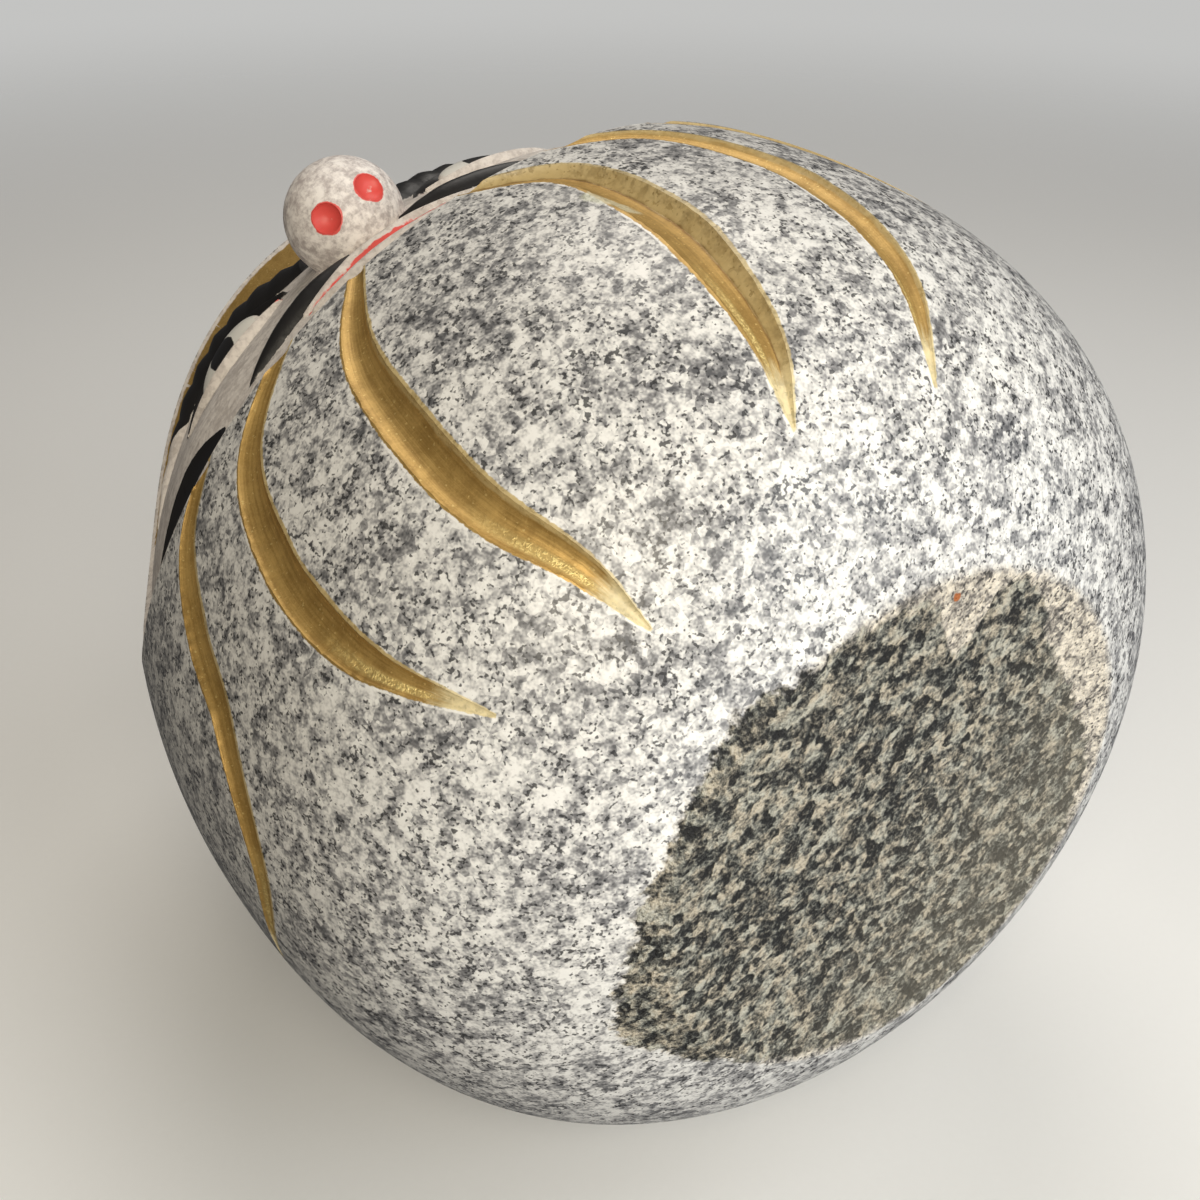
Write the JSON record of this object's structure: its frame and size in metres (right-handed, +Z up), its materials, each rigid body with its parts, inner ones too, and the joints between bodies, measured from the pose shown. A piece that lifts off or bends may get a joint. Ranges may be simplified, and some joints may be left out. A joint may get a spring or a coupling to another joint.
{
  "type": "stone daruma statue",
  "caption": "Round granite daruma statue on a flat cut underside, with a hooded face and gold painted grooves for the folds of its robe.",
  "frame": {"origin": "middle of the flat cut underside", "axes": "+Z up, the face looks along -Y, +X is to the right of someone who faces the statue"},
  "size_m": [0.2, 0.2, 0.217],
  "materials": {
    "granite": "fine grained grey granite, honed, with gold, black, red and white paint in the carving"
  },
  "bodies": {
    "root": {"daruma_statue": "granite"}
  },
  "joints": []
}
